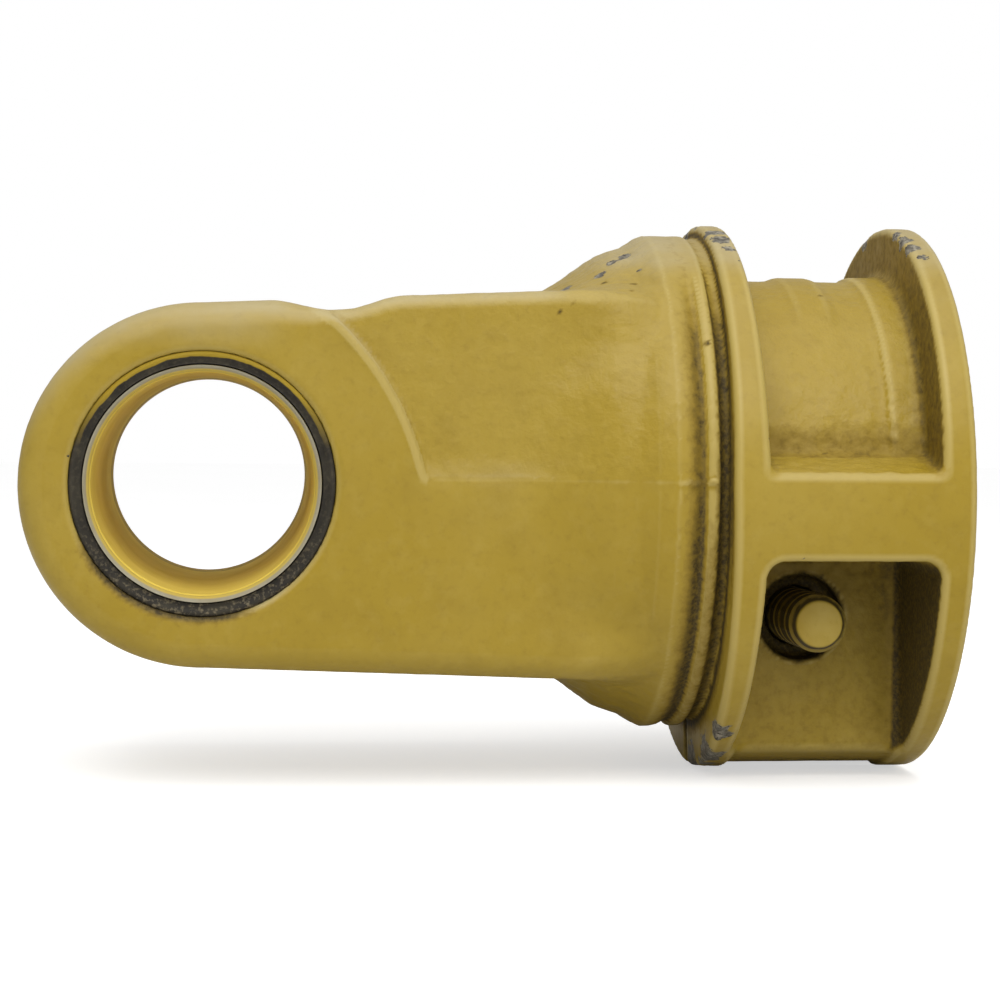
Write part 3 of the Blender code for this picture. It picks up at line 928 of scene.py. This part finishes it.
# dark of caked dirt and grease, also used as painted shade
GRIME_AND_SHADE = (0.026, 0.018, 0.006)
BARE_STEEL = (0.105, 0.094, 0.072)
SCRAPED_STEEL = (0.30, 0.27, 0.20)
RUST = (0.04, 0.032, 0.02)
BRONZE = ((0.78, 0.60, 0.110), (0.68, 0.51, 0.090))
WASHER_STEEL = ((0.30, 0.29, 0.27), (0.16, 0.15, 0.13))
SOCKET_STEEL = ((0.30, 0.29, 0.27), (0.15, 0.13, 0.10))
RUBBER = (0.018, 0.015, 0.010)
RUBBER_WORN = (0.055, 0.047, 0.030)
RUBBER_DUST = (0.26, 0.21, 0.12)
CREAM = (0.31, 0.28, 0.195)
CREAM_STAINED = (0.24, 0.20, 0.115)
CREAM_SPECK = (0.22, 0.19, 0.10)
BORE_STAIN = (0.50, 0.37, 0.075)
CREST_SPACING = 0.0085  # metres between the bolt's crests that carry a painted highlight


def painted_casting():
    """Ochre enamel over a rough casting: mottled, dirty and darkened by painted shade in the corners,
    paler with wear and painted highlights on edges, pale with dust and painted highlights on top faces,
    chipped to grey metal.
    """
    n = Nodes("casting_paint")
    broad = n.noise(13.0, 3.0, 0.55)
    cloud = n.noise(55.0, 3.0, 0.55)
    grain = n.noise(190.0, 3.0, 0.6)
    fine = n.noise(330.0, 4.0, 0.6)
    speck = n.noise(800.0, 3.0, 0.6)
    colour = n.mix(n.span(broad, 0.38, 0.66, 0.0, 0.34), OCHRE, OCHRE_PALE)
    colour = n.mix(n.span(cloud, 0.48, 0.72, 0.0, 0.18), colour, OCHRE_DEEP)
    colour = n.mix(n.span(grain, 0.50, 0.72, 0.0, 0.20), colour, OCHRE_PALE)
    colour = n.mix(n.span(fine, 0.50, 0.75, 0.0, 0.22), colour, OCHRE_DEEP)
    # paler on rolled edges: wear and a painted highlight
    colour = n.mix(n.span(n.attribute("edge"), 0.12, 0.50, 0.0, 0.75), colour, EDGE_WEAR_AND_HIGHLIGHT)
    # the dust values hold pale dust together with painted highlight on top faces
    dust = n.math("MULTIPLY", n.attribute("dust"), n.span(cloud, 0.3, 0.7, 0.30, 0.66))
    colour = n.mix(dust, colour, DUST_AND_HIGHLIGHT)
    # darkening from the dirt values, which hold dirt and painted shade
    dirt_and_shade = n.math("ADD", n.attribute("dirt_and_shade"), n.span(fine, 0.3, 0.7, -0.15, 0.15))
    film = n.span(dirt_and_shade, 0.12, 0.55)
    caked_and_shade = n.math("MULTIPLY", n.span(dirt_and_shade, 0.52, 0.92), n.span(speck, 0.32, 0.60, 0.6, 1.0))
    colour = n.mix(n.math("MULTIPLY", film, 0.72), colour, OCHRE_DEEP)
    colour = n.mix(n.math("MULTIPLY", caked_and_shade, 0.92), colour, GRIME_AND_SHADE)
    bare = n.span(n.math("ADD", n.attribute("bare"), n.span(speck, 0.3, 0.7, -0.25, 0.25)), 0.45, 0.60)
    metal = n.mix(n.span(fine, 0.42, 0.62), BARE_STEEL, SCRAPED_STEEL)
    metal = n.mix(n.span(speck, 0.52, 0.64), metal, RUST)
    colour = n.mix(bare, colour, metal)
    roughness = n.span(cloud, 0.3, 0.7, 0.36, 0.48)
    roughness = n.math("ADD", roughness, n.math("MULTIPLY", film, 0.25), clamp=True)
    relief = n.math("ADD", grain, n.math("MULTIPLY", fine, 0.8))
    skin = n.bump(n.math("MULTIPLY", relief, n.attribute("grain")), 0.8, 0.55)
    skin = n.bump(n.math("SUBTRACT", 1.0, bare), 0.4, 0.2, skin)
    return n.finish(colour, roughness, skin, n.math("MULTIPLY", bare, 0.15), specular=0.28)


def painted_bolt():
    """Same enamel on head and end; the thread between them is dark with grease and painted shade, with
    painted highlights along a few crests.
    """
    n = Nodes("bolt_paint_worn")
    along = n.axes()["Y"]
    broad = n.noise(60.0, 3.0, 0.5)
    fine = n.noise(420.0, 4.0, 0.6)
    colour = n.mix(n.span(broad, 0.35, 0.7), OCHRE, OCHRE_PALE)
    colour = n.mix(n.span(fine, 0.55, 0.8, 0.0, 0.3), colour, OCHRE_DEEP)
    # dark thread between head and end: grease and painted shade
    shank = n.math("MULTIPLY", n.span(along, -0.0688, -0.0682), n.span(along, 0.030, 0.036, 1.0, 0.0))
    # pale stripes along the thread: painted highlights on a few crests
    crest = n.math("SINE", n.math("MULTIPLY", along, 2.0 * math.pi / CREST_SPACING))
    crest = n.span(n.math("ADD", crest, n.span(fine, 0.3, 0.7, -0.25, 0.25)), 0.30, 0.85)
    grease_and_shade = n.math("MULTIPLY", shank, n.span(crest, 0.0, 1.0, 0.96, 0.45))
    colour = n.mix(grease_and_shade, colour, GRIME_AND_SHADE)
    return n.finish(colour, n.span(fine, 0.3, 0.7, 0.40, 0.55), n.bump(fine, 0.2, 0.4), specular=0.3)


def turned_metal(name, light, dark, roughness, line_scale, axis):
    """Machined metal with turning lines along one axis (0 X, 1 Y) and an uneven film."""
    n = Nodes(name)
    film = n.noise(38.0, 4.0, 0.55, 0.6)
    fine = n.noise(500.0, 3.0, 0.6)
    lines = n.math("SINE", n.math("MULTIPLY", n.axes()[axis], line_scale))
    lines = n.math("ADD", lines, n.span(fine, 0.3, 0.7, -0.8, 0.8))
    colour = n.mix(n.span(film, 0.35, 0.70), light, dark)
    colour = n.mix(n.span(lines, -1.0, 1.4, 0.0, 0.18), colour, dark)
    film_rough = n.span(film, 0.3, 0.7, roughness - 0.08, roughness + 0.10)
    rough = n.math("ADD", film_rough, n.span(fine, 0.3, 0.7, -0.04, 0.04))
    return n, colour, rough, n.bump(lines, 0.10, 0.10)


def bushing_bronze():
    n, colour, rough, normal = turned_metal("bushing_bronze_worn", *BRONZE, 0.75, 5200.0, 1)
    return n.finish(colour, rough, normal, specular=0.08)


def washer_steel():
    n, colour, rough, normal = turned_metal("washer_steel_dull", *WASHER_STEEL, 0.42, 9000.0, 0)
    return n.finish(colour, rough, normal, metallic=0.85)


def socket_steel():
    n, colour, rough, normal = turned_metal("socket_thread_steel", *SOCKET_STEEL, 0.38, 7000.0, 0)
    return n.finish(colour, rough, normal, metallic=0.8)


def seal_rubber():
    """Black-brown rubber, dusty below, with paint run over its upper edge."""
    n = Nodes("seal_rubber_dusty")
    axes = n.axes()
    height = axes["Z"]
    radius = n.pin_radius(axes)
    dust = n.noise(75.0, 4.0, 0.6)
    fine = n.noise(700.0, 3.0, 0.6)
    colour = n.mix(n.span(dust, 0.40, 0.72, 0.0, 0.8), RUBBER, RUBBER_WORN)
    speckle = n.math("MULTIPLY", n.span(fine, 0.50, 0.66), n.span(height, -0.012, -0.040, 0.08, 0.5))
    colour = n.mix(speckle, colour, RUBBER_DUST)
    edge = n.math("ADD", radius, n.span(dust, 0.3, 0.7, -0.0005, 0.0005))
    run = n.math("MULTIPLY", n.span(edge, 0.0424, 0.0427), n.span(height, 0.012, 0.030))
    colour = n.mix(run, colour, OCHRE)
    return n.finish(colour, n.span(dust, 0.3, 0.7, 0.55, 0.75), n.bump(fine, 0.25, 0.3), specular=0.25)


def seal_polyurethane():
    """Cream lip, clean on its outer face and stained like the bore inside."""
    n = Nodes("seal_polyurethane_aged")
    radius = n.pin_radius(n.axes())
    stain = n.noise(85.0, 4.0, 0.6)
    fine = n.noise(650.0, 3.0, 0.6)
    colour = n.mix(n.span(stain, 0.42, 0.72, 0.0, 0.7), CREAM, CREAM_STAINED)
    colour = n.mix(n.span(fine, 0.58, 0.75, 0.0, 0.4), colour, CREAM_SPECK)
    colour = n.mix(n.span(radius, 0.0386, 0.0382), colour, BORE_STAIN)
    return n.finish(colour, n.span(stain, 0.3, 0.7, 0.45, 0.60), n.bump(fine, 0.15, 0.25), specular=0.3)


def studio_floor():
    """Pale grey floor that glows towards the camera, so that shadows on it stay faint."""
    n = Nodes("pale_floor")
    grain = n.noise(3.0, 2.0, 0.5)
    colour = n.mix(n.span(grain, 0.3, 0.7), (0.76, 0.76, 0.76), (0.78, 0.78, 0.78))
    seen = n.tree.nodes.new("ShaderNodeLightPath").outputs["Is Camera Ray"]
    n.shader.inputs["Emission Color"].default_value = (1.0, 1.0, 1.0, 1.0)
    n.join(n.math("MULTIPLY", seen, FLOOR_GLOW), n.shader.inputs["Emission Strength"])
    return n.finish(colour, 0.9, specular=0.1)


def paint_with(item, material):
    item.data.materials.clear()
    item.data.materials.append(material)


# ---------------------------------------------------------------- scene

def add_camera():
    """Camera of the photograph: a long lens almost square to the pin, slightly above it."""
    data = bpy.data.cameras.new("camera")
    data.lens = CAMERA_LENS
    data.sensor_width = 36.0
    data.clip_end = 20.0
    camera = bpy.data.objects.new("camera", data)
    bpy.context.scene.collection.objects.link(camera)
    yaw = Matrix.Rotation(math.radians(CAMERA_YAW), 4, "Z")
    pitch = Matrix.Rotation(math.radians(90.0 + CAMERA_PITCH), 4, "X")
    roll = Matrix.Rotation(math.radians(CAMERA_ROLL), 4, "Z")
    camera.matrix_world = Matrix.Translation(Vector(CAMERA_PLACE) * MM) @ yaw @ pitch @ roll
    bpy.context.scene.camera = camera


def add_area_light(name, place, size, power):
    data = bpy.data.lights.new(name, "AREA")
    data.shape = "RECTANGLE"
    data.size, data.size_y = size
    data.energy = power
    light = bpy.data.objects.new(name, data)
    bpy.context.scene.collection.objects.link(light)
    light.location = place
    light.rotation_euler = (Vector(LIGHT_AIM) - Vector(place)).to_track_quat("-Z", "Y").to_euler()


def add_light():
    """White studio: dim, top-heavy ambient light that looks pure white behind the object."""
    world = bpy.data.worlds.new("studio")
    world.use_nodes = True
    tree = world.node_tree
    sky = tree.nodes["Background"]
    backdrop = tree.nodes.new("ShaderNodeBackground")
    backdrop.inputs["Strength"].default_value = 1.0
    backdrop.inputs["Color"].default_value = (1.0, 1.0, 1.0, 1.0)
    sky.inputs["Color"].default_value = (1.0, 1.0, 1.0, 1.0)
    split = tree.nodes.new("ShaderNodeSeparateXYZ")
    tree.links.new(tree.nodes.new("ShaderNodeTexCoord").outputs["Generated"], split.inputs[0])
    height = tree.nodes.new("ShaderNodeMapRange")
    tree.links.new(split.outputs["Z"], height.inputs["Value"])
    numbers = (-0.2, 1.0, AMBIENT_LOW, AMBIENT_HIGH)
    for key, number in zip(("From Min", "From Max", "To Min", "To Max"), numbers):
        height.inputs[key].default_value = number
    tree.links.new(height.outputs["Result"], sky.inputs["Strength"])
    mix = tree.nodes.new("ShaderNodeMixShader")
    tree.links.new(tree.nodes.new("ShaderNodeLightPath").outputs["Is Camera Ray"], mix.inputs[0])
    tree.links.new(sky.outputs[0], mix.inputs[1])
    tree.links.new(backdrop.outputs[0], mix.inputs[2])
    tree.links.new(mix.outputs[0], tree.nodes["World Output"].inputs["Surface"])
    bpy.context.scene.world = world
    for name, place, size, power in LIGHTS:
        add_area_light(name, place, size, power)
    bpy.context.scene.view_settings.view_transform = "Standard"


def add_floor():
    mesh_data = bmesh.new()
    bmesh.ops.create_grid(mesh_data, x_segments=8, y_segments=8, size=FLOOR_HALF_SIZE)
    mesh = bpy.data.meshes.new("floor")
    mesh_data.to_mesh(mesh)
    mesh_data.free()
    floor = bpy.data.objects.new("floor", mesh)
    bpy.context.scene.collection.objects.link(floor)
    floor.location = (0.1, 0.0, cad_box[0][2] - 0.0005)
    paint_with(floor, studio_floor())


def main():
    add_camera()
    add_light()
    add_floor()

    casting = build_casting()
    paint_with(casting, painted_casting())
    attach(casting, "eye")
    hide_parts("rod_eye")

    thread = build_socket_thread()
    paint_with(thread, socket_steel())
    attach(thread, "eye")

    bushing = build_bushing()
    paint_with(bushing, bushing_bronze())
    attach(bushing, "eye")
    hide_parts("pin_bushing")

    rubber = seal_rubber()
    polymer = seal_polyurethane()
    for side, place in ((-1, "near"), (1, "far")):
        ring = build_seal_ring(side, "dust_ring_" + place)
        paint_with(ring, rubber)
        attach(ring, "eye")
        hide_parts("seal_ring_" + place)
        lip = build_seal_lip(side, "wiper_lip_" + place)
        paint_with(lip, polymer)
        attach(lip, "eye")
        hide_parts("seal_lip_" + place)

    washer = build_washer()
    paint_with(washer, washer_steel())
    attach(washer, "washer")
    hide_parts("clamp_washer")

    shank, head = build_bolt()
    enamel = painted_bolt()
    for piece in (shank, head):
        paint_with(piece, enamel)
        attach(piece, "bolt")
    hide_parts("clamp_bolt")


main()
bpy.context.view_layer.update()
